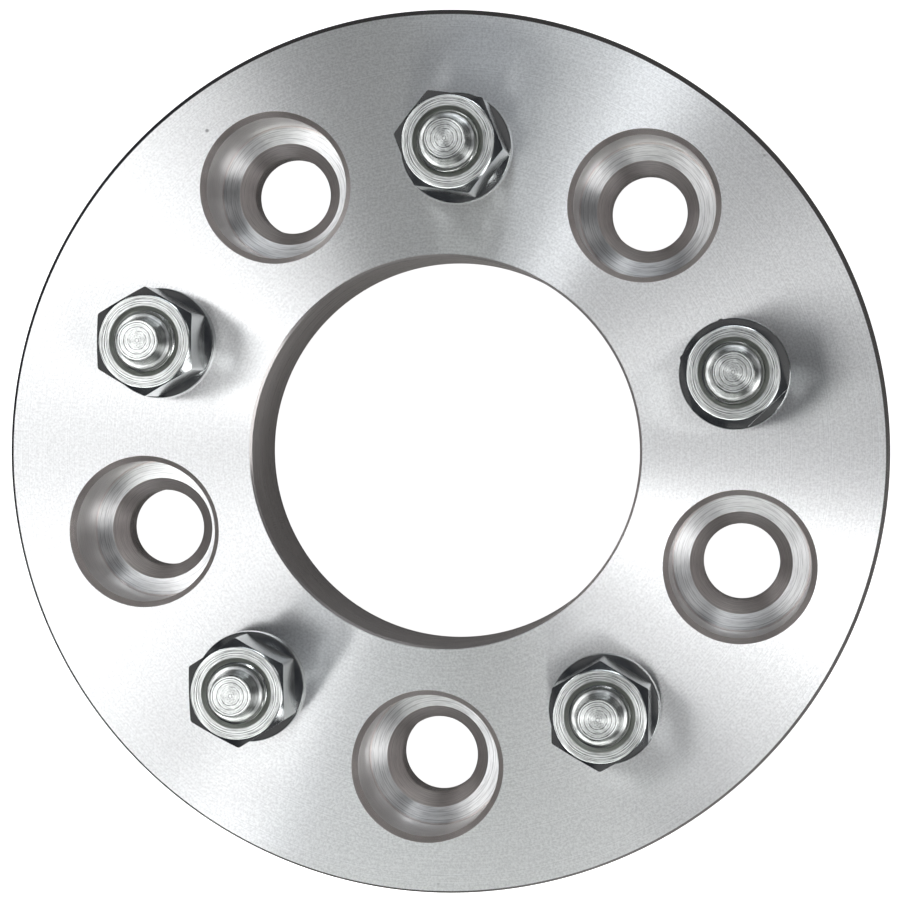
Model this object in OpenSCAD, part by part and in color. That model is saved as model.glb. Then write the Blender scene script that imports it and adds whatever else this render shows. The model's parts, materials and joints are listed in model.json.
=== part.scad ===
/* [Plate] */
// Diameter of the plate
plate_d = 177.8; // [168:0.1:220]
// Thickness of the plate, the distance by which it moves a wheel out
plate_t = 31.75; // [26:0.05:60]
// Chamfer on the plate's rim, at both faces
rim_chamfer = 0.7; // [0.2:0.1:2]

/* [Hub bore] */
// Diameter of the bore that slips over the hub's pilot
bore_d = 78.5; // [60:0.1:88]
// Chamfer on the bore's front edge
bore_chamfer = 0.5; // [0.2:0.1:2]
// Chamfer on the bore's back edge, clear of the fillet at the hub's foot
bore_relief = 2; // [0.5:0.1:4]

/* [Hub stud wells] */
// Number of hub studs, and of wheel studs between them
stud_count = 5; // [4:1:6]
// Pitch circle diameter of the hub studs
hub_pcd = 127; // [114:0.05:138]
// Diameter of the holes that the hub studs pass through
hub_hole_d = 15.875; // [12:0.005:18]
// Chamfer on the back edge of those holes
hub_hole_chamfer = 0.5; // [0.2:0.1:1]
// Diameter of the wells that take the hub nuts and a socket
well_d = 28.6; // [26:0.1:31]
// Chamfer on the wells' front edge
well_chamfer = 1.1; // [0.3:0.1:2]
// Thickness of the web under the wells' flat floor
web_t = 12.25; // [9:0.05:18]
// Diameter of the conical nut seats, at the wells' floor
seat_d = 21.1; // [19:0.1:24]
// Full angle of the cones, on the seats and on the nuts
cone_angle = 60; // [50:1:90]

/* [Wheel studs] */
// Pitch circle diameter of the wheel studs
wheel_pcd = 120.65; // [108:0.05:130]
// Diameter of the studs' thread, over its crests
stud_d = 12; // [10:0.1:14]
// Height of the studs above the front face
stud_reach = 32; // [20:0.5:50]
// Length of the tapered pilot at the end of a stud
pilot_len = 5.4; // [2:0.1:8]
// Step from the thread's crests in to the pilot, cut at 45 degrees
pilot_step = 1.25; // [0.5:0.05:1.6]
// Taper of the pilot towards its flat end, on each side
pilot_taper = 0.7; // [0.1:0.05:1.5]
// Height of the splines' crests above the thread's crests
spline_rise = 0.5; // [0.3:0.05:1]
// Depth of the grooves between the splines
spline_depth = 0.4; // [0.1:0.05:0.8]
// Length of the splined shank under the head
spline_len = 9.5; // [5:0.5:12]
// Number of splines around a stud
spline_count = 36; // [18:1:60]
// Overhang of the stud's head past the splines
head_overhang = 2.5; // [1.5:0.1:4]
// Thickness of the stud's head
head_t = 4.8; // [3:0.1:8]
// Chamfer on the edge of the stud's head
head_chamfer = 0.8; // [0.2:0.1:1.5]
// Depth of the head's seat below the back face
head_seat = 10; // [9:0.1:14]

/* [Lug nuts] */
// Width of the hexagon across its flats
hex_af = 19; // [17.5:0.1:24]
// Height of a nut, from its foot to its top face
nut_h = 25.4; // [20:0.1:40]
// Inset of the top face's edge from the flats
crown_inset = 0.55; // [0.2:0.05:1]
// Slope of the chamfer on the hexagon's top corners
crown_slope = 30; // [15:1:45]
// Countersink around the thread in the top face
nut_countersink = 0.85; // [0.3:0.05:1]
// Lip of the bulge past the hexagon's corners
bulge_lip = 0.15; // [0.05:0.05:1]
// Height of the bulge's upright band
bulge_band = 3.1; // [1:0.1:5]
// Width of the nut's foot on the face around the stud's hole
foot_ledge = 0.5; // [0.2:0.1:1.5]

/* [Fits] */
// Clearance of the splines in their hole, on each side
press_clear = 0.02; // [0:0.01:0.1]
// Clearance of the stud's head in its recess, on each side
head_clear = 0.5; // [0.2:0.1:1.5]
// Clearance of the nut's bore over the stud's crests, on each side
thread_clear = 0.1; // [0.05:0.05:0.3]

/* [Hidden] */
$fn = 96;

// Turn of each nut's hexagon on its stud, as the nuts were spun on by hand
nut_turns = [47, 55, 33, 35, 33];

// A cut runs this far past the face that it opens
overrun = 1;
aluminium = "#d5d7d8";
plated_steel = "#b4b8ba";

plate_r = plate_d / 2;
bore_r = bore_d / 2;
stud_pitch = 360 / stud_count;
half_pitch = stud_pitch / 2;
// The first wheel stud is placed so that one of the studs lies on +Y
first_stud = 90 - stud_pitch;
cone_run = tan(cone_angle / 2);

hub_hole_r = hub_hole_d / 2;
well_r = well_d / 2;
seat_r = seat_d / 2;
seat_depth = (seat_r - hub_hole_r) / cone_run;

stud_r = stud_d / 2;
stud_top = plate_t + stud_reach;
pilot_base = stud_top - pilot_len;
pilot_r = stud_r - pilot_step;
spline_r = stud_r + spline_rise;
spline_root_r = spline_r - spline_depth;
stud_hole_r = spline_r + press_clear;
head_r = spline_r + head_overhang;
head_top = head_seat - head_t;

hex_corner_r = hex_af / 2 / cos(30);
bulge_r = hex_corner_r + bulge_lip;
foot_r = stud_hole_r + foot_ledge;
cone_h = (bulge_r - foot_r) / cone_run;
bulge_top = cone_h + bulge_band;
shoulder_drop = (bulge_r - hex_af / 2) * tan(crown_slope);
crown_r = hex_af / 2 - crown_inset;
nut_bore_r = stud_r + thread_clear;

// Places its children on the wheel studs' circle, and passes on the number of each
module at_wheel_studs() {
    for (i = [0 : stud_count - 1]) {
        angle = first_stud + i * stud_pitch;
        $stud = i;
        translate([cos(angle), sin(angle), 0] * wheel_pcd / 2) children();
    }
}

// Places its children on the hub studs' circle, half a pitch from the wheel studs
module at_hub_studs() {
    for (i = [0 : stud_count - 1])
        rotate(first_stud + half_pitch + i * stud_pitch) translate([hub_pcd / 2, 0, 0]) children();
}

// The turned ring that the holes are drilled in
module plate_blank() {
    rotate_extrude()
        polygon([
            [bore_r + bore_relief, 0],
            [plate_r - rim_chamfer, 0],
            [plate_r, rim_chamfer],
            [plate_r, plate_t - rim_chamfer],
            [plate_r - rim_chamfer, plate_t],
            [bore_r + bore_chamfer, plate_t],
            [bore_r, plate_t - bore_chamfer],
            [bore_r, bore_relief],
        ]);
}

// What is cut out for a hub stud: its hole, the nut's seat, the flat floor and the well
module hub_well_cut() {
    rotate_extrude()
        polygon([
            [0, -overrun],
            [hub_hole_r + hub_hole_chamfer + overrun, -overrun],
            [hub_hole_r, hub_hole_chamfer],
            [hub_hole_r, web_t - seat_depth],
            [seat_r, web_t],
            [well_r, web_t],
            [well_r, plate_t - well_chamfer],
            [well_r + well_chamfer + overrun, plate_t + overrun],
            [0, plate_t + overrun],
        ]);
}

// What is cut out for a wheel stud: the recess for its head and the hole for its splines
module wheel_stud_cut() {
    translate([0, 0, -overrun]) cylinder(r = head_r + head_clear, h = head_seat + overrun);
    cylinder(r = stud_hole_r, h = plate_t + overrun);
}

module spacer_plate() {
    color(aluminium)
        difference() {
            plate_blank();
            at_hub_studs() hub_well_cut();
            at_wheel_studs() wheel_stud_cut();
        }
}

// The rolled splines that grip the plate, as pointed ridges around the shank
module splined_shank() {
    step = 180 / spline_count;
    linear_extrude(spline_len)
        polygon([
            for (i = [0 : 2 * spline_count - 1])
                (i % 2 == 0 ? spline_r : spline_root_r) * [cos(i * step), sin(i * step)]
        ]);
}

// One stud from its head in the back recess to the flat end of its pilot
module wheel_stud() {
    rotate_extrude()
        polygon([
            [0, head_top],
            [head_r - head_chamfer, head_top],
            [head_r, head_top + head_chamfer],
            [head_r, head_seat],
            [stud_r, head_seat],
            [stud_r, pilot_base - pilot_step],
            [pilot_r, pilot_base],
            [pilot_r - pilot_taper, stud_top],
            [0, stud_top],
        ]);
    translate([0, 0, head_seat]) splined_shank();
}

module wheel_studs() {
    color(plated_steel) at_wheel_studs() wheel_stud();
}

// The cone that centres a nut, the bulge over it and the shoulder up to the hexagon
module nut_base() {
    rotate_extrude()
        polygon([
            [0, 0],
            [foot_r, 0],
            [bulge_r, cone_h],
            [bulge_r, bulge_top],
            [hex_af / 2, bulge_top + shoulder_drop],
            [0, bulge_top + shoulder_drop],
        ]);
}

// The hexagon, with its top corners turned off to a round crown
module nut_hexagon() {
    reach = hex_corner_r + overrun;
    intersection() {
        translate([0, 0, cone_h]) cylinder(r = hex_corner_r, h = nut_h - cone_h, $fn = 6);
        rotate_extrude()
            polygon([
                [0, 0],
                [reach, 0],
                [reach, nut_h - (reach - crown_r) * tan(crown_slope)],
                [crown_r, nut_h],
                [0, nut_h],
            ]);
    }
}

// The nut's open bore, with its countersink at the top
module nut_bore_cut() {
    rotate_extrude()
        polygon([
            [0, -overrun],
            [nut_bore_r, -overrun],
            [nut_bore_r, nut_h - nut_countersink],
            [nut_bore_r + nut_countersink + overrun, nut_h + overrun],
            [0, nut_h + overrun],
        ]);
}

// One open-ended nut, standing on its foot
module lug_nut() {
    difference() {
        union() {
            nut_base();
            nut_hexagon();
        }
        nut_bore_cut();
    }
}

module lug_nuts() {
    color(plated_steel)
        at_wheel_studs() translate([0, 0, plate_t]) rotate(nut_turns[$stud % len(nut_turns)]) lug_nut();
}

spacer_plate();
wheel_studs();
lug_nuts();
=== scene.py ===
"""Wheel spacer: a turned aluminium plate with splined wheel studs and open-ended lug nuts."""
import json
import math

import bmesh
import bpy
from bpy.props import FloatProperty, FloatVectorProperty, IntProperty, PointerProperty
from mathutils import Matrix, Vector


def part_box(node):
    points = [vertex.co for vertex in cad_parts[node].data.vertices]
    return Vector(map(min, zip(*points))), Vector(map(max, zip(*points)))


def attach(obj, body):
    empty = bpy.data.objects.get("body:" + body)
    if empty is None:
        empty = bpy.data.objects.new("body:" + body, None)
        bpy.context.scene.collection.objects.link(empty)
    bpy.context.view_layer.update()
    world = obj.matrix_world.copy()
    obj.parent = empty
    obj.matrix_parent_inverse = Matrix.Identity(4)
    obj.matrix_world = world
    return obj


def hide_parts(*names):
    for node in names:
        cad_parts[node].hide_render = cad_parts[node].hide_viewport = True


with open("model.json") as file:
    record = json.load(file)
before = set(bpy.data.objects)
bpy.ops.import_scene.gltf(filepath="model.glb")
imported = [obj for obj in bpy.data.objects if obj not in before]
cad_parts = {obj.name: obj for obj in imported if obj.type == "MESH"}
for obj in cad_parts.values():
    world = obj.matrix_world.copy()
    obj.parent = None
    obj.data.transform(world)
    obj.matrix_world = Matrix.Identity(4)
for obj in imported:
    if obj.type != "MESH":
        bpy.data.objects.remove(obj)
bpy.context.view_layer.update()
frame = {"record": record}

bl_info = {
    "name": "Wheel Spacer",
    "version": (1, 0, 0),
    "blender": (4, 5, 0),
    "location": "3D View > Sidebar > Spacer",
    "description": "Builds the plate, studs and nuts of a wheel spacer, and a studio around them",
    "category": "Object",
}

MM = 0.001
PLATE_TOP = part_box("spacer_plate")[1].z
STUD_LOW, STUD_HIGH = (corner.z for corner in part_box("wheel_studs"))
NUT_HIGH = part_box("lug_nuts")[1].z

MOUNTS = {mount["name"]: mount["dims"] for mount in frame["record"]["mounts"]}
BORE_R = MOUNTS["hub_bore"]["r_mm"] * MM
HUB_HOLE_R = MOUNTS["hub_bolts"]["hole_r_mm"] * MM
HUB_CIRCLE_R = MOUNTS["hub_bolts"]["pcd_mm"] * MM / 2
STUD_R = MOUNTS["wheel_studs"]["stud_r_mm"] * MM
STUD_CIRCLE_R = MOUNTS["wheel_studs"]["pcd_mm"] * MM / 2
STUD_COUNT = MOUNTS["hub_bolts"]["count"]
STUD_PITCH = math.tau / STUD_COUNT
# One of the wheel studs lies on +Y, and the wells are half a pitch from the studs
FIRST_STUD = math.radians(90) - STUD_PITCH
FIRST_WELL = FIRST_STUD - STUD_PITCH / 2

# Steps around each kind of turned form, and along a rounded corner
PLATE_STEPS = 288
WELL_STEPS = 128
STUD_STEPS = 64
NUT_STEPS = 128
CORNER_STEPS = 4

# A cut runs this far past the face that it opens, and a joined form this far into its neighbour
PAST = MM
# A face or a point this near to a level lies on it
NEAR = 0.01 * MM
# Room that the turned outline of a stud leaves around its crests
TURNING_ROOM = 0.05 * MM
# What fills the thread's grooves stands this far past the pilot's shoulder, which is cut after it
FILL_ROOM = 0.02 * MM
# Inset of the smooth core that runs through a stud's splines
CORE_INSET = 0.5 * MM
# Depth of the nuts' top zone, which takes the finish of the top face
TOP_ZONE = 0.05 * MM
# Points nearer than this are merged, on turned forms and where forms were cut or joined
WELD = 1e-7
CUT_WELD = 1e-6
# Depth of a metric thread, as a share of its pitch
THREAD_DEPTH = 0.613
# Share of each of the cutter's marks that falls away
MARK_FALL = 0.45
# Half the angle that one flat of a hexagon spans
HALF_FLAT = math.radians(30)

# Upward parts of a face's normal: under the first it is upright, and over the last it is flat
UPRIGHT = 0.1
STEEP = 0.6
FLAT = 0.9
# A face whose normal falls below this looks down
UNDERSIDE = -0.5

# Edges that bend by more than this stay sharp
PLATE_CREASE = math.radians(12)
STUD_CREASE = math.radians(25)
NUT_CREASE = math.radians(20)

# Places of the finishes in each piece's list of materials
FACED, BORED, WELL_WALL, WELL_FLOOR, WELL_SEAT, RIM, CHAMFER = range(7)
THREAD, STUD_END, PILOT, HEAD = range(4)
DRAWN, NUT_TOP, NUT_BORE = range(3)

# Attribute that holds a point's place from the axis that it was turned about
OWN_AXIS = "own_axis"
# Turn of the sheen, in whole turns, that lays it across the cutter's marks
QUARTER_TURN = 0.25

FLOOR_REACH = 4
FLOOR_DROP = 0.2 * MM
# Radii between which the floor's painted shade under the part gives way to its pale colour near the
# part's rim, and between which painted shade darkens it again outside
PALE_STARTS = (0.085, 0.095)
PALE_ENDS = (0.15, 0.2)
# Share of the painted floor shade that darkens the floor far out from the part
FAR_PAINTED_SHADE = 0.35
SOFTBOX_DISTANCE = 1.2
WALL_TINT = (1, 0.95, 0.92)


def length(name, description, millimetres):
    return FloatProperty(
        name=name, description=description, default=millimetres * MM, unit="LENGTH", precision=5)


def angle(name, description, degrees):
    return FloatProperty(
        name=name, description=description, default=math.radians(degrees), subtype="ANGLE")


def colour(name, description, value):
    return FloatVectorProperty(
        name=name, description=description, default=value, size=3, subtype="COLOR", min=0, max=1)


class SpacerPlateSettings(bpy.types.PropertyGroup):
    """Sizes of the turned and drilled plate"""
    plate_d: length("Diameter", "Diameter of the plate", 177.8)
    rim_chamfer: length("Rim chamfer", "Chamfer on the rim, at both faces", 0.7)
    bore_chamfer: length("Bore chamfer", "Chamfer on the bore's front edge", 0.5)
    bore_relief: length("Bore relief", "Chamfer on the bore's back edge", 2.0)
    well_d: length("Well", "Diameter of the wells for the hub nuts", 28.6)
    well_chamfer: length("Well chamfer", "Width of the chamfer on the wells' front edge", 1.1)
    well_chamfer_h: length("Chamfer height", "Height of that chamfer", 1.6)
    web_t: length("Web", "Thickness of the web under the wells' floor", 12.25)
    seat_d: length("Seat", "Diameter of the conical seats at the floor", 21.1)
    hole_chamfer: length("Hole chamfer", "Chamfer on the back of the hub stud holes", 0.5)
    stud_hole_d: length("Stud hole", "Diameter of the holes for the wheel studs", 13.04)
    recess_d: length("Head recess", "Diameter of the recesses for the stud heads", 19.0)
    recess_depth: length("Recess depth", "Depth of the recesses for the stud heads", 10.0)
    cone_angle: angle("Cone", "Full angle of the cones on the seats and the nuts", 60)
    corner_cut: length("Corner cut", "Depth of the cutter's groove in the corner of the wells", 0.2)
    rim_run: length("Rim run", "Run-out of the front rim chamfer from the plate's axis", 0.33)
    rim_turn: angle("Rim turn", "Direction of that run-out", 243)
    rim_rise: length("Rim rise", "Most that the chamfer's outer edge rises as it narrows", 0.41)
    rim_rise_turn: angle("Rise turn", "Direction in which it rises most", 218)


class WheelStudSettings(bpy.types.PropertyGroup):
    """Sizes of the pressed-in wheel studs"""
    thread_pitch: length("Pitch", "Pitch of the thread", 1.5)
    pilot_len: length("Pilot", "Length of the tapered pilot", 5.4)
    pilot_step: length("Pilot step", "Step from the thread's crests to the pilot", 1.25)
    pilot_taper: length("Pilot taper", "Taper of the pilot, on each side", 0.7)
    shoulder_w: length("Shoulder", "Width of the flat shoulder at the pilot's foot", 0.6)
    shoulder_drop: length("Shoulder drop", "Fall of that shoulder to its outer edge", 0.12)
    step_land: length("Step land", "Inset of the pilot step's foot from the crests", 0.25)
    end_round: length("End round", "Rounding of the pilot's flat end", 0.12)
    spline_rise: length("Spline rise", "Height of the splines over the thread", 0.5)
    spline_depth: length("Spline depth", "Depth of the grooves between splines", 0.4)
    spline_len: length("Spline length", "Length of the splined shank", 9.5)
    spline_count: IntProperty(name="Splines", description="Number of splines", default=36, min=12)
    head_d: length("Head", "Diameter of the head", 18.0)
    head_t: length("Head thickness", "Thickness of the head", 4.8)
    head_chamfer: length("Head chamfer", "Chamfer on the head's edge", 0.8)
    tool_step: length("Tool step", "Spacing of the cutter's marks on the flat end", 0.8)
    tool_depth: length("Tool depth", "Depth of the cutter's marks on the flat end", 0.03)


class LugNutSettings(bpy.types.PropertyGroup):
    """Sizes of the open-ended lug nuts"""
    hex_af: length("Hexagon", "Width of the hexagon across its flats, drawn to the low limit", 18.65)
    crown_inset: length("Crown inset", "Inset of the top face's edge from the flats", 0.375)
    crown_slope: angle("Crown slope", "Slope of the chamfer on the top corners", 30)
    countersink: length("Countersink", "Countersink around the thread", 0.85)
    thread_clear: length("Thread room", "Room between the bore and the stud", 0.1)
    bulge_lip: length("Bulge lip", "Lip of the bulge past the hexagon's corners", 0.25)
    bulge_band: length("Bulge band", "Height of the bulge's upright band", 3.1)
    foot_ledge: length("Foot ledge", "Width of the foot around the stud's hole", 0.5)
    edge_round: length("Edge round", "Rounding of the hexagon's upright edges", 0.3)
    crown_round: length("Crown round", "Rounding of the top face's edge", 0.25)
    bulge_round: length("Bulge round", "Rounding of the bulge's upper edge", 0.35)
    turns: FloatVectorProperty(
        name="Turns", description="Turn of each nut on its stud", size=5, subtype="EULER",
        default=[math.radians(turn) for turn in (47, 55, 33, 35, 33)])


class FinishSettings(bpy.types.PropertyGroup):
    """Colours of the metals"""
    aluminium: colour("Aluminium", "Colour of the machined plate", (0.86, 0.87, 0.875))
    bored_aluminium: colour(
        "Bored aluminium", "Colour of the bore, the holes and the chamfers", (0.78, 0.745, 0.735))
    well_aluminium: colour("Well aluminium", "Colour of the wells' walls", (0.82, 0.80, 0.79))
    plating: colour("Plating", "Colour of the zinc plate on studs and nuts", (0.80, 0.82, 0.81))
    drawn_plating: colour(
        "Drawn plating", "Colour of the zinc plate on the nuts' flats", (0.48, 0.50, 0.50))
    dull_steel: colour("Dull steel", "Colour of the steel in the nuts' bores", (0.62, 0.635, 0.60))


class StudioSettings(bpy.types.PropertyGroup):
    """Camera, floor and lights"""
    camera_place: FloatVectorProperty(
        name="Camera", description="Place of the camera", size=3, unit="LENGTH",
        default=(0.067465, 0.010606, 0.668798))
    camera_target: FloatVectorProperty(
        name="Target", description="Point that the camera looks at", size=3, unit="LENGTH",
        default=(0.001302, 0.00043, 0.03175))
    camera_roll: angle("Roll", "Turn of the picture's upright from +Y", 3.156)
    lens: FloatProperty(name="Lens", description="Focal length on a 36 mm frame", default=127.15)
    floor_colour: colour("Floor", "Colour of the floor", (0.8, 0.79, 0.78))
    # Painted shade in the floor's colour, under the part and, darker, far out from it
    painted_floor_shade: colour("Floor shade", "Colour of the floor away from the light", (0.14, 0.135, 0.13))
    floor_glow: FloatProperty(name="Floor glow", description="Light of the floor from below", default=1.0)
    surround: FloatProperty(name="Surround", description="Brightness of the room", default=0.035)
    room_tint: colour("Room tint", "Colour of the room", (0.78, 0.82, 1.0))
    backdrop: FloatProperty(name="Backdrop", description="Brightness behind the floor", default=1.0)


def polar(radius, turn):
    return Vector((radius * math.cos(turn), radius * math.sin(turn), 0))


def well_axis(i):
    return polar(HUB_CIRCLE_R, FIRST_WELL + i * STUD_PITCH)


def stud_axis(i):
    return polar(STUD_CIRCLE_R, FIRST_STUD + i * STUD_PITCH)


def lathe(bm, profile, steps, at=None):
    """Spins a profile of (radius, height) points, which is closed or ends on the axis, about Z."""
    before = set(bm.verts)
    verts = [bm.verts.new((radius, 0, height)) for radius, height in profile]
    edges = [bm.edges.new(pair) for pair in zip(verts, verts[1:])]
    if profile[0][0] > 0:
        edges.append(bm.edges.new((verts[-1], verts[0])))
    bmesh.ops.spin(
        bm, geom=verts + edges, cent=(0, 0, 0), axis=(0, 0, 1), dvec=(0, 0, 0), angle=math.tau,
        steps=steps, use_merge=True)
    made = [vert for vert in bm.verts if vert not in before]
    bmesh.ops.remove_doubles(bm, verts=made, dist=WELD)
    bmesh.ops.recalc_face_normals(bm, faces=bm.faces)
    if at is not None:
        made = [vert for vert in bm.verts if vert not in before]
        bmesh.ops.translate(bm, verts=made, vec=at)


def turned(profile, steps):
    """A shape of its own, turned from one profile."""
    bm = bmesh.new()
    lathe(bm, profile, steps)
    return bm


def tool_marks(inner, outer, height, step, depth):
    """Points of a face that a cutter left in shallow steps, from inner to outer."""
    count = max(1, round((outer - inner) / step))
    points = []
    for i in range(count):
        start = inner + (outer - inner) * i / count
        points.append((start, height))
        points.append((start + (outer - inner) * MARK_FALL / count, height - depth))
    return points


def rounded(before, corner, after, size):
    """Points that round a profile's corner, from size before it to size after it."""
    before, corner, after = (Vector(point) for point in (before, corner, after))
    start = corner + (before - corner).normalized() * size
    end = corner + (after - corner).normalized() * size
    points = []
    for i in range(CORNER_STEPS + 1):
        along = i / CORNER_STEPS
        point = start.lerp(corner, along).lerp(corner.lerp(end, along), along)
        points.append(tuple(point))
    return points


def mesh_object(name, bm):
    mesh = bpy.data.meshes.new(name)
    bm.to_mesh(mesh)
    bm.free()
    obj = bpy.data.objects.new(name, mesh)
    bpy.context.scene.collection.objects.link(obj)
    return obj


def weld(mesh):
    """Merges the points that a cut or a join left all but in one place."""
    bm = bmesh.new()
    bm.from_mesh(mesh)
    bmesh.ops.remove_doubles(bm, verts=bm.verts, dist=CUT_WELD)
    bmesh.ops.dissolve_degenerate(bm, edges=bm.edges, dist=CUT_WELD)
    bm.to_mesh(mesh)
    bm.free()


def combine(obj, operation, bm):
    """Cuts, joins or intersects the object with the shape in bm, and keeps the result as its mesh."""
    tool = mesh_object("tool", bm)
    modifier = obj.modifiers.new("combine", "BOOLEAN")
    modifier.operation = operation
    modifier.solver = "EXACT"
    modifier.object = tool
    bpy.context.view_layer.update()
    graph = bpy.context.evaluated_depsgraph_get()
    result = bpy.data.meshes.new_from_object(obj.evaluated_get(graph))
    if not result.polygons:
        raise RuntimeError(f"{operation} left nothing of {obj.name}")
    weld(result)
    obj.modifiers.clear()
    old, obj.data = obj.data, result
    old_tool = tool.data
    bpy.data.objects.remove(tool)
    for mesh in (old, old_tool):
        bpy.data.meshes.remove(mesh)


def keep_own_axis(mesh, offsets):
    """Stores each vertex's place, in millimetres, from the axis that it was turned about."""
    attribute = mesh.attributes.new(OWN_AXIS, "FLOAT_VECTOR", "POINT")
    for item, offset in zip(attribute.data, offsets):
        item.vector = offset / MM


def give_finishes(mesh, materials, choose):
    """Gives the mesh its materials, and each face the one that choose finds for it."""
    mesh.materials.clear()
    for material in materials:
        mesh.materials.append(material)
    for face in mesh.polygons:
        face.material_index = choose(face)


def smooth_with_creases(mesh, crease):
    mesh.shade_smooth()
    mesh.set_sharp_from_angle(angle=crease)


def finish_piece(obj, node):
    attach(obj, "root")
    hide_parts(node)


def place_copies(pattern, name, node, turns):
    """Copies a finished pattern piece onto each wheel stud's axis, and removes the pattern."""
    for i in range(STUD_COUNT):
        mesh = pattern.data.copy()
        mesh.transform(Matrix.Translation(stud_axis(i)) @ Matrix.Rotation(turns[i], 4, "Z"))
        obj = bpy.data.objects.new(f"{name}_{i + 1}", mesh)
        bpy.context.scene.collection.objects.link(obj)
        finish_piece(obj, node)
    bpy.data.objects.remove(pattern)


class Finish:
    """A material, a metal unless it is told otherwise, with short calls that add and wire its nodes."""

    def __init__(self, name, colour, roughness, anisotropy):
        self.material = bpy.data.materials.new(name)
        self.material.use_nodes = True
        self.tree = self.material.node_tree
        self.shader = self.tree.nodes["Principled BSDF"]
        self.shader.inputs["Base Color"].default_value = (*colour, 1)
        self.shader.inputs["Metallic"].default_value = 1
        self.shader.inputs["Roughness"].default_value = roughness
        self.shader.inputs["Anisotropic"].default_value = anisotropy

    def node(self, kind, inputs=None, **settings):
        made = self.tree.nodes.new(kind)
        for key, value in settings.items():
            setattr(made, key, value)
        for key, value in (inputs or {}).items():
            if isinstance(value, bpy.types.NodeSocket):
                self.tree.links.new(value, made.inputs[key])
            else:
                made.inputs[key].default_value = value
        return made

    def wire(self, socket, value):
        self.tree.links.new(value, self.shader.inputs[socket])

    def vector(self, operation, inputs, output="Vector"):
        return self.node("ShaderNodeVectorMath", inputs, operation=operation).outputs[output]

    def math(self, operation, first, second):
        return self.node(
            "ShaderNodeMath", {0: first, 1: second}, operation=operation).outputs["Value"]

    def object_place(self):
        return self.node("ShaderNodeTexCoord").outputs["Object"]

    def own_axis_place(self):
        """Place from the piece's own axis, in millimetres."""
        return self.node("ShaderNodeAttribute", attribute_name=OWN_AXIS).outputs["Vector"]

    def own_tangent(self):
        """Direction around the piece's own axis, which the cutter's marks follow."""
        return self.vector("CROSS_PRODUCT", {0: (0, 0, 1), 1: self.own_axis_place()})

    def brush(self, tangent):
        """Spreads the sheen across marks that follow tangent."""
        self.shader.inputs["Anisotropic Rotation"].default_value = QUARTER_TURN
        self.wire("Tangent", tangent)

    def level(self, place):
        """Place brought down to the height of the origin."""
        return self.vector("MULTIPLY", {0: place, 1: (1, 1, 0)})

    def radius(self, place):
        """Distance of place from the Z axis."""
        return self.vector("LENGTH", {0: self.level(place)}, "Value")

    def depth(self, place):
        return self.node("ShaderNodeSeparateXYZ", {"Vector": place}).outputs["Z"]

    def noise(self, place, scale, detail=2.0, roughness=0.5):
        return self.node(
            "ShaderNodeTexNoise",
            {"Vector": place, "Scale": scale, "Detail": detail, "Roughness": roughness}).outputs["Fac"]

    def streaks(self, distance, scale, detail=2.0, roughness=0.6):
        """Lines that follow equal values of distance, as a cutter leaves them."""
        return self.node(
            "ShaderNodeTexNoise",
            {"W": distance, "Scale": scale, "Detail": detail, "Roughness": roughness},
            noise_dimensions="1D").outputs["Fac"]

    def arcs(self, place, distance, scale, count):
        """Short marks along circles about Z, about count of them around each circle."""
        heading = self.vector("NORMALIZE", {0: self.level(place)})
        around = self.vector("SCALE", {0: heading, "Scale": count / math.tau / scale})
        return self.node(
            "ShaderNodeTexNoise",
            {"Vector": around, "W": distance, "Scale": scale, "Detail": 2.0, "Roughness": 0.6},
            noise_dimensions="4D").outputs["Fac"]

    def wander(self, distance, place, scale, amount):
        """Distance that strays a little from place to place, so that its lines aren't true circles."""
        stray = self.span(self.noise(place, scale, detail=1), 0, 1, -amount, amount)
        return self.math("ADD", distance, stray)

    def span(self, value, low, high, new_low=0, new_high=1):
        """Value with the range from low to high carried over to the new range, and held within it."""
        return self.node(
            "ShaderNodeMapRange",
            {"Value": value, "From Min": low, "From Max": high, "To Min": new_low,
             "To Max": new_high}).outputs["Result"]

    def mix(self, first, second, share):
        """A share of the first value with the rest of the second."""
        return self.math(
            "ADD", self.math("MULTIPLY", first, share), self.math("MULTIPLY", second, 1 - share))

    def tint(self, amount, first, second):
        """First, a colour or a colour socket, with the colour second over it by amount."""
        if not isinstance(first, bpy.types.NodeSocket):
            first = (*first, 1)
        return self.node(
            "ShaderNodeMix", {"Factor": amount, "A": first, "B": (*second, 1)},
            data_type="RGBA").outputs["Result"]

    def bump(self, height, distance):
        return self.node("ShaderNodeBump", {"Height": height, "Distance": distance}).outputs["Normal"]


def shade(colour, factor):
    return tuple(min(1, part * factor) for part in colour)


def faced_aluminium(colours):
    """Faces turned on a lathe: fine rings, a pale grain, specks and a sheen that fans out."""
    finish = Finish("faced_aluminium", colours.aluminium, roughness=0.306, anisotropy=0.956)
    finish.brush(finish.node(
        "ShaderNodeTangent", direction_type="RADIAL", axis="Z").outputs["Tangent"])
    place = finish.object_place()
    grain = finish.noise(place, scale=2200, detail=3, roughness=0.65)
    rings = finish.streaks(finish.radius(place), scale=4200, detail=3)
    specks = finish.node(
        "ShaderNodeTexVoronoi", {"Vector": place, "Scale": 170, "Randomness": 1.0}).outputs["Distance"]
    patches = finish.noise(place, scale=55)
    mixed = finish.mix(grain, rings, 0.7)
    sparse = finish.span(patches, 0.60, 0.68)
    pits = finish.math("MULTIPLY", finish.span(specks, 0.05, 0.09, 1, 0), sparse)
    tone = finish.tint(
        finish.span(mixed, 0.4, 0.6), shade(colours.aluminium, 0.86), shade(colours.aluminium, 1.1))
    finish.wire("Base Color", finish.tint(pits, tone, shade(colours.aluminium, 0.35)))
    finish.wire("Roughness", finish.span(mixed, 0.35, 0.65, 0.296, 0.316))
    height = finish.math("SUBTRACT", mixed, pits)
    finish.wire("Normal", finish.bump(height, 0.001 * MM))
    return finish.material


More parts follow.
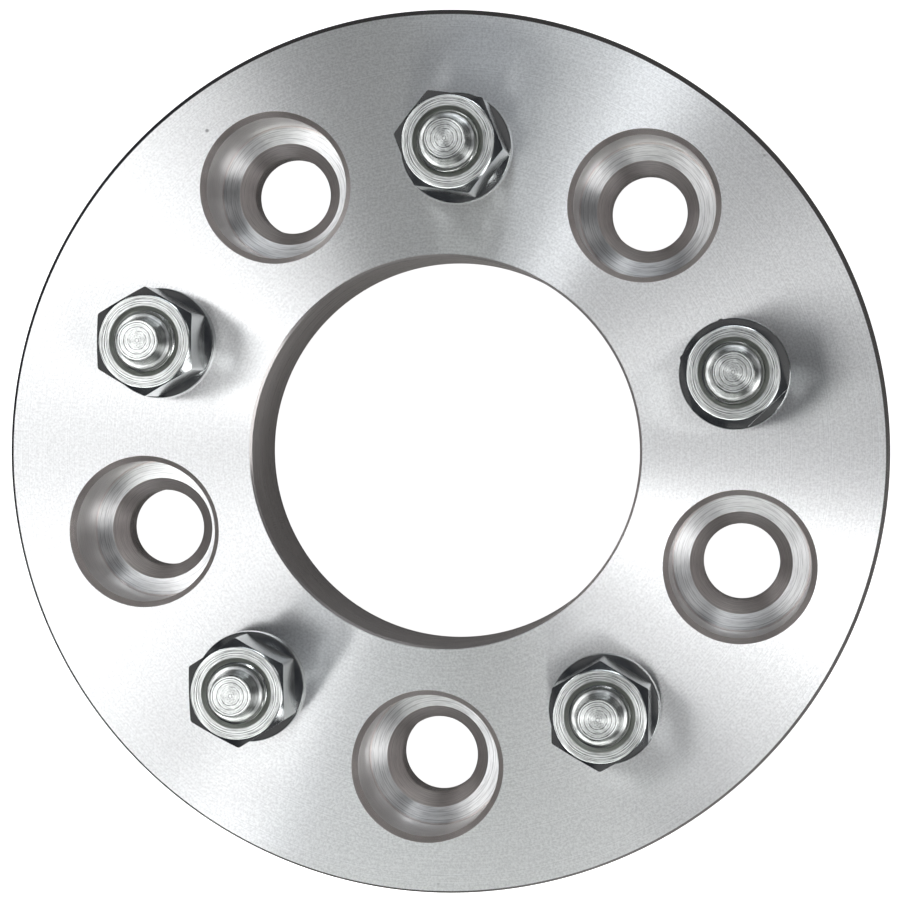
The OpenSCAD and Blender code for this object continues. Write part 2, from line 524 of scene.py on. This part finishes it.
def bored_aluminium(name, colour, roughness, coarse):
    """Bores, wells and sides: rings that the cutter left around each one's own axis, coarse or fine."""
    finish = Finish(name, colour, roughness, anisotropy=0.88)
    finish.brush(finish.own_tangent())
    place = finish.own_axis_place()
    radius = finish.wander(finish.radius(place), place, scale=0.12, amount=0.1)
    depth = finish.depth(place)
    slant = finish.math("ADD", radius, finish.math("MULTIPLY", depth, 0.6))
    rings = finish.streaks(slant, scale=3.2, detail=3, roughness=0.7)
    arcs = finish.arcs(place, finish.math("ADD", radius, depth), scale=3.0, count=24)
    mixed = finish.mix(arcs, rings, 0.4)
    finish.wire("Base Color", finish.tint(
        finish.span(mixed, 0.38, 0.56), shade(colour, 1 - 0.4 * coarse), shade(colour, 1.05)))
    finish.wire("Roughness", finish.span(mixed, 0.35, 0.65, roughness - 0.03, roughness + 0.03))
    finish.wire("Normal", finish.bump(mixed, 0.02 * coarse * MM))
    return finish.material


def turned_plating(name, colour, roughness, anisotropy, lines, broken, groove):
    """Zinc plate over turned ends: rings, lines to the millimetre, partly broken into short marks."""
    finish = Finish(name, colour, roughness, anisotropy)
    finish.brush(finish.own_tangent())
    place = finish.own_axis_place()
    radius = finish.wander(finish.radius(place), place, scale=0.5, amount=0.08)
    across = finish.math("ADD", radius, finish.depth(place))
    rings = finish.streaks(across, scale=lines)
    arcs = finish.arcs(place, across, scale=lines * 1.2, count=16)
    mixed = finish.mix(arcs, rings, broken)
    finish.wire("Base Color", finish.tint(
        finish.span(mixed, 0.4, 0.58), shade(colour, 0.3), shade(colour, 1.15)))
    finish.wire("Roughness", finish.span(mixed, 0.35, 0.65, roughness - 0.03, roughness + 0.03))
    finish.wire("Normal", finish.bump(mixed, groove * MM))
    return finish.material


def bright_plating(name, colour, roughness):
    """Zinc plate over drawn or forged faces: smooth, with a faint haze."""
    finish = Finish(name, colour, roughness, anisotropy=0.0)
    place = finish.own_axis_place()
    haze = finish.noise(place, scale=1.1, detail=4, roughness=0.6)
    grain = finish.noise(place, scale=7.0)
    finish.wire("Base Color", finish.tint(haze, shade(colour, 0.88), colour))
    finish.wire("Roughness", finish.span(haze, 0.3, 0.7, roughness * 0.85, roughness * 1.15))
    finish.wire("Normal", finish.bump(grain, 0.018 * roughness * MM))
    return finish.material


def dull_steel(name, colour):
    """Steel that the zinc hardly reaches, in the nuts' bores."""
    finish = Finish(name, colour, roughness=0.4, anisotropy=0.6)
    finish.brush(finish.own_tangent())
    place = finish.own_axis_place()
    rings = finish.streaks(finish.radius(place), scale=4.0)
    grain = finish.noise(place, scale=3.0, detail=3, roughness=0.6)
    finish.wire("Base Color", finish.tint(finish.span(rings, 0.35, 0.65), shade(colour, 0.7), colour))
    finish.wire("Roughness", finish.span(grain, 0.3, 0.7, 0.36, 0.44))
    finish.wire("Normal", finish.bump(rings, 0.01 * MM))
    return finish.material


def plate_profile(sizes):
    plate_r = sizes.plate_d / 2
    return [
        (BORE_R + sizes.bore_relief, 0),
        (plate_r - sizes.rim_chamfer, 0),
        (plate_r, sizes.rim_chamfer),
        (plate_r, PLATE_TOP - sizes.rim_chamfer),
        (plate_r - sizes.rim_chamfer, PLATE_TOP),
        (BORE_R + sizes.bore_chamfer, PLATE_TOP),
        (BORE_R, PLATE_TOP - sizes.bore_chamfer),
        (BORE_R, sizes.bore_relief),
    ]


def well_profile(sizes):
    """What a hub stud's well takes out of the plate, from the back to past the front face."""
    seat_r, well_r = sizes.seat_d / 2, sizes.well_d / 2
    seat_low = sizes.web_t - (seat_r - HUB_HOLE_R) / math.tan(sizes.cone_angle / 2)
    chamfer_run = sizes.well_chamfer + PAST * sizes.well_chamfer / sizes.well_chamfer_h
    return [
        (0, -PAST),
        (HUB_HOLE_R + sizes.hole_chamfer + PAST, -PAST),
        (HUB_HOLE_R, sizes.hole_chamfer),
        (HUB_HOLE_R, seat_low),
        (seat_r, sizes.web_t),
        (well_r - 2 * sizes.corner_cut, sizes.web_t),
        (well_r - sizes.corner_cut, sizes.web_t - sizes.corner_cut),
        (well_r, sizes.web_t),
        (well_r, PLATE_TOP - sizes.well_chamfer_h),
        (well_r + chamfer_run, PLATE_TOP + PAST),
        (0, PLATE_TOP + PAST),
    ]


def stud_hole_profile(sizes):
    """What a wheel stud's hole and the recess for its head take out of the plate."""
    hole_r, recess_r = sizes.stud_hole_d / 2, sizes.recess_d / 2
    return [
        (0, -PAST),
        (recess_r, -PAST),
        (recess_r, sizes.recess_depth),
        (hole_r, sizes.recess_depth),
        (hole_r, PLATE_TOP + PAST),
        (0, PLATE_TOP + PAST),
    ]


def rim_zone(sizes):
    """Radius outside which the plate has only its rim and the rim's chamfers."""
    return sizes.plate_d / 2 - 2 * sizes.rim_chamfer


def turned_plate(sizes):
    """The ring before it is drilled, with the run-out and the slope of its front rim chamfer."""
    bm = turned(plate_profile(sizes), PLATE_STEPS)
    rim_r = rim_zone(sizes)
    run_out = polar(sizes.rim_run, sizes.rim_turn)
    rise = polar(sizes.rim_rise, sizes.rim_rise_turn)
    for vert in bm.verts:
        if vert.co.xy.length < rim_r or vert.co.z < PLATE_TOP / 2:
            continue
        if vert.co.z > PLATE_TOP - NEAR:
            vert.co += run_out
        else:
            vert.co.z += vert.co.xy.normalized().dot(rise.xy)
    return bm


def hole_cuts(sizes):
    """The cuts of all wells and stud holes, in one shape."""
    cuts = bmesh.new()
    for i in range(STUD_COUNT):
        lathe(cuts, well_profile(sizes), WELL_STEPS, well_axis(i))
        lathe(cuts, stud_hole_profile(sizes), STUD_STEPS, stud_axis(i))
    return cuts


def own_axis_offset(place, zones):
    """Place from the axis of the hole whose zone it is in, or else from the plate's own axis."""
    for axis, reach in zones:
        offset = place - axis
        if offset.xy.length < reach + NEAR:
            return offset
    return place


def plate_finish(face, sizes, wells):
    """The finish of one face of the plate, by where it lies and how it tilts."""
    height = face.center.z
    tilt = abs(face.normal.z)
    if min(abs(height), abs(height - PLATE_TOP)) < NEAR:
        return FACED
    if face.center.xy.length > rim_zone(sizes):
        return RIM if tilt < UPRIGHT else CHAMFER
    if not any((face.center - axis).xy.length < reach for axis, reach in wells):
        return BORED
    if height > PLATE_TOP - sizes.well_chamfer_h:
        return CHAMFER
    if height > sizes.web_t - NEAR:
        return WELL_FLOOR if height < sizes.web_t + NEAR else WELL_WALL
    return WELL_SEAT if UPRIGHT < tilt < STEEP else BORED


class SPACER_OT_plate(bpy.types.Operator):
    """Turns the plate, drills its wells and stud holes, and gives it its machined finish"""
    bl_idname = "spacer.plate"
    bl_label = "Spacer Plate"

    def execute(self, context):
        sizes = context.scene.spacer_plate
        plate = mesh_object("spacer_plate_turned", turned_plate(sizes))
        combine(plate, "DIFFERENCE", hole_cuts(sizes))
        mesh = plate.data
        well_reach = sizes.well_d / 2 + sizes.well_chamfer
        wells = [(well_axis(i), well_reach) for i in range(STUD_COUNT)]
        stud_holes = [(stud_axis(i), sizes.recess_d / 2) for i in range(STUD_COUNT)]
        zones = wells + stud_holes
        keep_own_axis(mesh, [own_axis_offset(vert.co, zones) for vert in mesh.vertices])
        colours = context.scene.spacer_finish
        faced, bored, wall = colours.aluminium, colours.bored_aluminium, colours.well_aluminium
        give_finishes(mesh, [
            faced_aluminium(colours),
            bored_aluminium("bored_aluminium", bored, roughness=0.29, coarse=0.4),
            bored_aluminium("well_wall_aluminium", wall, roughness=0.41, coarse=0.55),
            bored_aluminium("well_floor_aluminium", faced, roughness=0.32, coarse=0.9),
            bored_aluminium("well_seat_aluminium", shade(bored, 0.95), roughness=0.31, coarse=0.6),
            bored_aluminium("rim_aluminium", faced, roughness=0.34, coarse=0.25),
            bored_aluminium("chamfer_aluminium", bored, roughness=0.1, coarse=0.2),
        ], lambda face: plate_finish(face, sizes, wells))
        smooth_with_creases(mesh, PLATE_CREASE)
        finish_piece(plate, "spacer_plate")
        return {"FINISHED"}


def threaded_rod(low, high, pitch):
    """A rod with a helical thread, cut off square at both ends."""
    root_r = STUD_R - THREAD_DEPTH * pitch
    crest, root = pitch / 8, pitch / 4
    flank = (pitch - crest - root) / 2
    turns = math.ceil((high - low) / pitch) + 2
    start = low - pitch
    bm = bmesh.new()
    profile = [
        (root_r, 0),
        (root_r, root),
        (STUD_R, root + flank),
        (STUD_R, root + flank + crest),
        (root_r, pitch),
    ]
    verts = [bm.verts.new((radius, 0, start + height)) for radius, height in profile]
    edges = [bm.edges.new(pair) for pair in zip(verts, verts[1:])]
    bmesh.ops.spin(
        bm, geom=verts + edges, cent=(0, 0, 0), axis=(0, 0, 1), dvec=(0, 0, pitch / STUD_STEPS),
        angle=math.tau * turns, steps=turns * STUD_STEPS)
    bmesh.ops.remove_doubles(bm, verts=bm.verts, dist=CUT_WELD)
    for height, normal in ((low, -1), (high, 1)):
        everything = bm.verts[:] + bm.edges[:] + bm.faces[:]
        bmesh.ops.bisect_plane(
            bm, geom=everything, dist=WELD, plane_co=(0, 0, height), plane_no=(0, 0, normal),
            clear_outer=True)
        rim = [edge for edge in bm.edges if edge.is_boundary and
               all(abs(vert.co.z - height) < CUT_WELD for vert in edge.verts)]
        bmesh.ops.contextual_create(bm, geom=rim)
    bmesh.ops.recalc_face_normals(bm, faces=bm.faces)
    return bm


def stud_end_profile(sizes, low):
    """The outline that the threaded end of a stud is turned to."""
    pilot_base = STUD_HIGH - sizes.pilot_len
    pilot_r = STUD_R - sizes.pilot_step
    tip_r = pilot_r - sizes.pilot_taper
    clear_r = STUD_R + TURNING_ROOM
    flat = tool_marks(0, tip_r - sizes.end_round, STUD_HIGH, sizes.tool_step, sizes.tool_depth)
    return [
        (0, low),
        (clear_r, low),
        (clear_r, pilot_base - sizes.pilot_step - TURNING_ROOM),
        (pilot_r + sizes.shoulder_w, pilot_base - sizes.shoulder_drop),
        (pilot_r, pilot_base),
        (tip_r, STUD_HIGH - sizes.end_round),
        (tip_r - sizes.end_round, STUD_HIGH),
        *reversed(flat),
    ]


def groove_fill_profile(sizes):
    """What fills the thread's grooves from the pilot's step up, before the end is turned."""
    pilot_base = STUD_HIGH - sizes.pilot_len
    step_low = pilot_base - sizes.pilot_step
    land_r = STUD_R - sizes.step_land
    fill_r = STUD_R - sizes.pilot_step + sizes.shoulder_w + FILL_ROOM
    fill_top = STUD_HIGH + 2 * PAST
    return [
        (0, step_low),
        (land_r, step_low),
        (land_r, step_low + sizes.step_land),
        (fill_r, pilot_base - sizes.shoulder_drop),
        (fill_r, fill_top),
        (0, fill_top),
    ]


def head_profile(sizes, top):
    """The head, with the smooth core that runs up from it to top."""
    head_r = sizes.head_d / 2
    head_seat = STUD_LOW + sizes.head_t
    return [
        (0, STUD_LOW),
        (head_r - sizes.head_chamfer, STUD_LOW),
        (head_r, STUD_LOW + sizes.head_chamfer),
        (head_r, head_seat),
        (STUD_R - CORE_INSET, head_seat),
        (STUD_R - CORE_INSET, top),
        (0, top),
    ]


def spline_ring(sizes, low):
    """The splined shank, as a ring of pointed ridges drawn up from its outline."""
    spline_r = STUD_R + sizes.spline_rise
    root_r = spline_r - sizes.spline_depth
    bm = bmesh.new()
    bmesh.ops.create_circle(bm, cap_ends=True, radius=root_r, segments=2 * sizes.spline_count)
    crest = [vert for i, vert in enumerate(bm.verts) if i % 2 == 0]
    bmesh.ops.scale(bm, verts=crest, vec=(spline_r / root_r, spline_r / root_r, 1))
    bmesh.ops.translate(bm, verts=bm.verts, vec=(0, 0, low))
    drawn = bmesh.ops.extrude_face_region(bm, geom=bm.faces[:])
    top = [item for item in drawn["geom"] if isinstance(item, bmesh.types.BMVert)]
    bmesh.ops.translate(bm, verts=top, vec=(0, 0, sizes.spline_len))
    bmesh.ops.recalc_face_normals(bm, faces=bm.faces)
    return bm


def stud_finish(face, sizes):
    """The finish of one face of a stud, by its height."""
    height = face.center.z
    pilot_base = STUD_HIGH - sizes.pilot_len
    on_shoulder = face.normal.z > FLAT and height > pilot_base - sizes.shoulder_drop
    if on_shoulder or height > STUD_HIGH - sizes.end_round:
        return STUD_END
    if height > pilot_base - sizes.pilot_step:
        return PILOT
    return THREAD if height > STUD_LOW + sizes.head_t else HEAD


class SPACER_OT_studs(bpy.types.Operator):
    """Makes the wheel studs, each with its head, splines, thread and pilot"""
    bl_idname = "spacer.studs"
    bl_label = "Wheel Studs"

    def execute(self, context):
        sizes = context.scene.spacer_studs
        head_seat = STUD_LOW + sizes.head_t
        thread_low = head_seat + sizes.spline_len + PAST
        stud = mesh_object(
            "stud_pattern", threaded_rod(thread_low, STUD_HIGH + PAST, sizes.thread_pitch))
        combine(stud, "UNION", turned(groove_fill_profile(sizes), STUD_STEPS))
        combine(stud, "INTERSECT", turned(stud_end_profile(sizes, thread_low - PAST), STUD_STEPS))
        combine(stud, "UNION", spline_ring(sizes, head_seat))
        combine(stud, "UNION", turned(head_profile(sizes, thread_low + PAST), STUD_STEPS))
        mesh = stud.data
        keep_own_axis(mesh, [vert.co for vert in mesh.vertices])
        plating = context.scene.spacer_finish.plating
        give_finishes(mesh, [
            bright_plating("stud_bright_plating", plating, roughness=0.17),
            turned_plating(
                "stud_end_plating", plating, roughness=0.29, anisotropy=0.7, lines=4.8, broken=0.4,
                groove=0.05),
            turned_plating(
                "stud_pilot_plating", shade(plating, 0.56), roughness=0.13, anisotropy=0.6, lines=1.8,
                broken=0.0, groove=0.1),
            bright_plating("stud_head_plating", plating, roughness=0.36),
        ], lambda face: stud_finish(face, sizes))
        smooth_with_creases(mesh, STUD_CREASE)
        place_copies(stud, "wheel_stud", "wheel_studs", [0.0] * STUD_COUNT)
        return {"FINISHED"}


def hexagon_bar(corner_r, low, high, edge_round):
    """A hexagon from low to high with rounded upright edges, and a flat towards +X."""
    bm = bmesh.new()
    bmesh.ops.create_cone(
        bm, cap_ends=True, segments=6, radius1=corner_r, radius2=corner_r, depth=high - low)
    bmesh.ops.translate(bm, verts=bm.verts, vec=(0, 0, (high + low) / 2))
    bmesh.ops.rotate(
        bm, verts=bm.verts, cent=(0, 0, 0), matrix=Matrix.Rotation(HALF_FLAT, 3, "Z"))
    upright = [edge for edge in bm.edges if abs(edge.verts[0].co.z - edge.verts[1].co.z) > PAST]
    bmesh.ops.bevel(
        bm, geom=upright, offset=edge_round, offset_type="OFFSET", segments=3, profile=0.5,
        affect="EDGES", material=-1)
    return bm


class SPACER_OT_nuts(bpy.types.Operator):
    """Makes the lug nuts, each with its cone, bulge, hexagon and open bore"""
    bl_idname = "spacer.nuts"
    bl_label = "Lug Nuts"

    def execute(self, context):
        sizes = context.scene.spacer_nuts
        plate = context.scene.spacer_plate
        nut_h = NUT_HIGH - PLATE_TOP
        flat_r = sizes.hex_af / 2
        corner_r = flat_r / math.cos(HALF_FLAT)
        crown_r = flat_r - sizes.crown_inset
        bulge_r = corner_r + sizes.bulge_lip
        foot_r = plate.stud_hole_d / 2 + sizes.foot_ledge
        cone_h = (bulge_r - foot_r) / math.tan(plate.cone_angle / 2)
        bulge_top = cone_h + sizes.bulge_band
        shoulder_top = bulge_top + (bulge_r - flat_r) * math.tan(sizes.crown_slope)
        bore_r = STUD_R + sizes.thread_clear
        sunk_r = bore_r + sizes.countersink
        nut = mesh_object("nut_pattern", hexagon_bar(corner_r, cone_h, nut_h + PAST, sizes.edge_round))
        reach = corner_r + PAST
        skirt = (reach, nut_h - (reach - crown_r) * math.tan(sizes.crown_slope))
        combine(nut, "INTERSECT", turned([
            (0, 0),
            (reach, 0),
            skirt,
            *rounded(skirt, (crown_r, nut_h), (0, nut_h), sizes.crown_round),
            (0, nut_h),
        ], NUT_STEPS))
        band_low, band_high, neck = (bulge_r, cone_h), (bulge_r, bulge_top), (flat_r, shoulder_top)
        combine(nut, "UNION", turned([
            (0, 0),
            (foot_r, 0),
            band_low,
            *rounded(band_low, band_high, neck, sizes.bulge_round),
            neck,
            (0, shoulder_top),
        ], NUT_STEPS))
        combine(nut, "DIFFERENCE", turned([
            (0, -PAST),
            (bore_r, -PAST),
            (bore_r, nut_h - sizes.countersink),
            (sunk_r + PAST, nut_h + PAST),
            (0, nut_h + PAST),
        ], NUT_STEPS))

        def nut_finish(face):
            if face.center.z > nut_h - TOP_ZONE:
                return NUT_TOP
            in_bore = face.center.xy.length < sunk_r and face.normal.z > UNDERSIDE
            return NUT_BORE if in_bore else DRAWN

        mesh = nut.data
        keep_own_axis(mesh, [vert.co for vert in mesh.vertices])
        colours = context.scene.spacer_finish
        give_finishes(mesh, [
            bright_plating("nut_bright_plating", colours.drawn_plating, roughness=0.17),
            turned_plating(
                "nut_top_plating", shade(colours.plating, 0.86), roughness=0.29, anisotropy=0.7,
                lines=4.8, broken=0.5, groove=0.06),
            dull_steel("nut_dull_steel", colours.dull_steel),
        ], nut_finish)
        mesh.transform(Matrix.Translation((0, 0, PLATE_TOP)))
        smooth_with_creases(mesh, NUT_CREASE)
        place_copies(nut, "lug_nut", "lug_nuts", sizes.turns)
        return {"FINISHED"}


def floor_material(dim, pale, glow):
    """Pale paper with painted shade in its colour under the part and far out from it, so that it is pale
    only in a ring around the part, and that the camera sees as lit from below.
    """
    finish = Finish("floor", pale, roughness=0.8, anisotropy=0.0)
    finish.shader.inputs["Metallic"].default_value = 0
    finish.shader.inputs["Emission Color"].default_value = (1, 1, 1, 1)
    reach = finish.radius(finish.object_place())
    # Painted shade under the part, which gives way to the pale floor near the part's rim
    near = finish.tint(finish.span(reach, *PALE_STARTS), dim, pale)
    # A darker painted shade for the floor far out from the part
    far = shade(dim, FAR_PAINTED_SHADE)
    finish.wire("Base Color", finish.tint(finish.span(reach, *PALE_ENDS), near, far))
    seen = finish.node("ShaderNodeLightPath").outputs["Is Camera Ray"]
    finish.wire("Emission Strength", finish.math("MULTIPLY", seen, glow))
    return finish.material


def lay_floor(sizes):
    bm = bmesh.new()
    bmesh.ops.create_grid(bm, x_segments=1, y_segments=1, size=FLOOR_REACH)
    bmesh.ops.translate(bm, verts=bm.verts, vec=(0, 0, -FLOOR_DROP))
    floor = mesh_object("floor", bm)
    floor.data.materials.append(floor_material(sizes.painted_floor_shade, sizes.floor_colour, sizes.floor_glow))


def room(tint, strength, backdrop):
    """A dim room, behind a pale backdrop that only the camera sees."""
    world = bpy.data.worlds.new("room")
    world.use_nodes = True
    tree = world.node_tree
    dim = tree.nodes["Background"]
    dim.inputs["Color"].default_value = (*tint, 1)
    dim.inputs["Strength"].default_value = strength
    pale = tree.nodes.new("ShaderNodeBackground")
    pale.inputs["Color"].default_value = (1, 1, 1, 1)
    pale.inputs["Strength"].default_value = backdrop
    either = tree.nodes.new("ShaderNodeMixShader")
    seen = tree.nodes.new("ShaderNodeLightPath").outputs["Is Camera Ray"]
    for i, socket in enumerate((seen, dim.outputs[0], pale.outputs[0])):
        tree.links.new(socket, either.inputs[i])
    tree.links.new(either.outputs[0], tree.nodes["World Output"].inputs["Surface"])
    return world


def softbox(name, turn, rise, width, height, brightness, colour=(1, 1, 1)):
    """A soft panel aimed at the plate, at a turn about Z and a rise over the floor, in degrees."""
    light = bpy.data.lights.new(name, "AREA")
    light.shape = "RECTANGLE"
    light.size = width
    light.size_y = height
    light.energy = brightness * math.pi * width * height
    light.color = colour
    obj = bpy.data.objects.new(name, light)
    bpy.context.scene.collection.objects.link(obj)
    turn, rise = math.radians(turn), math.radians(rise)
    out = Vector((math.cos(turn) * math.cos(rise), math.sin(turn) * math.cos(rise), math.sin(rise)))
    obj.location = out * SOFTBOX_DISTANCE
    obj.rotation_mode = "QUATERNION"
    obj.rotation_quaternion = out.to_track_quat("Z", "Y")


def set_softboxes():
    """The lights over the part, and the dim walls that its upright sides mirror."""
    softbox("left_high", 184, 70, 0.57, 0.31, 3.4)
    softbox("left", 207, 56, 0.43, 0.20, 3.3)
    softbox("left_front", 234, 54, 0.15, 0.21, 10.6)
    softbox("left_back", 146, 53, 0.43, 0.10, 7.6)
    softbox("front", 268, 55, 0.63, 0.30, 4.0, (0.98, 1, 0.97))
    softbox("top", 291, 81, 0.08, 0.31, 3.1)
    softbox("right", 339, 60, 0.20, 0.53, 5.6)
    softbox("right_corner", 325, 44, 0.19, 0.18, 5.6)
    softbox("right_low", 346, 9, 0.9, 0.22, 4.0)
    softbox("right_wall", 30, 26, 1.8, 0.34, 0.15, WALL_TINT)
    softbox("front_wall", 300, 26, 1.4, 0.34, 0.13, WALL_TINT)
    softbox("left_wall", 190, 26, 1.8, 0.34, 0.12, WALL_TINT)
    softbox("back_wall", 105, 26, 1.4, 0.34, 0.12, WALL_TINT)
    softbox("back", 71, 54, 0.125, 0.25, 11.0, (0.94, 0.97, 1))
    softbox("back_left", 91, 55, 0.33, 0.15, 4.9, (0.92, 0.96, 1))
    softbox("back_right", 32, 59, 0.18, 0.22, 2.8)


def place_camera(scene, sizes):
    data = bpy.data.cameras.new("camera")
    data.lens = sizes.lens
    data.sensor_width = 36
    data.clip_start = 0.05
    camera = bpy.data.objects.new("camera", data)
    scene.collection.objects.link(camera)
    place, target = Vector(sizes.camera_place), Vector(sizes.camera_target)
    back = (place - target).normalized()
    upright = Vector((-math.sin(sizes.camera_roll), math.cos(sizes.camera_roll), 0))
    right = upright.cross(back).normalized()
    turn = Matrix((right, back.cross(right), back)).transposed()
    camera.matrix_world = Matrix.Translation(place) @ turn.to_4x4()
    scene.camera = camera


class SPACER_OT_studio(bpy.types.Operator):
    """Lays the pale floor, sets the soft lights and places the camera"""
    bl_idname = "spacer.studio"
    bl_label = "Studio"

    def execute(self, context):
        scene = context.scene
        sizes = scene.spacer_studio
        lay_floor(sizes)
        set_softboxes()
        scene.world = room(sizes.room_tint, sizes.surround, sizes.backdrop)
        scene.view_settings.view_transform = "Standard"
        place_camera(scene, sizes)
        return {"FINISHED"}


OPERATORS = (SPACER_OT_plate, SPACER_OT_studs, SPACER_OT_nuts, SPACER_OT_studio)


class SPACER_PT_panel(bpy.types.Panel):
    """Lists the steps that build the wheel spacer"""
    bl_idname = "SPACER_PT_panel"
    bl_label = "Wheel Spacer"
    bl_space_type = "VIEW_3D"
    bl_region_type = "UI"
    bl_category = "Spacer"

    def draw(self, context):
        for operator in OPERATORS:
            self.layout.operator(operator.bl_idname)


SETTINGS = {
    "spacer_plate": SpacerPlateSettings,
    "spacer_studs": WheelStudSettings,
    "spacer_nuts": LugNutSettings,
    "spacer_finish": FinishSettings,
    "spacer_studio": StudioSettings,
}
CLASSES = (*SETTINGS.values(), *OPERATORS, SPACER_PT_panel)


def register():
    for cls in CLASSES:
        bpy.utils.register_class(cls)
    for name, group in SETTINGS.items():
        setattr(bpy.types.Scene, name, PointerProperty(type=group))


def unregister():
    for name in SETTINGS:
        delattr(bpy.types.Scene, name)
    for cls in reversed(CLASSES):
        bpy.utils.unregister_class(cls)


def main():
    register()
    bpy.ops.spacer.plate()
    bpy.ops.spacer.studs()
    bpy.ops.spacer.nuts()
    bpy.ops.spacer.studio()


if __name__ == "__main__":
    main()
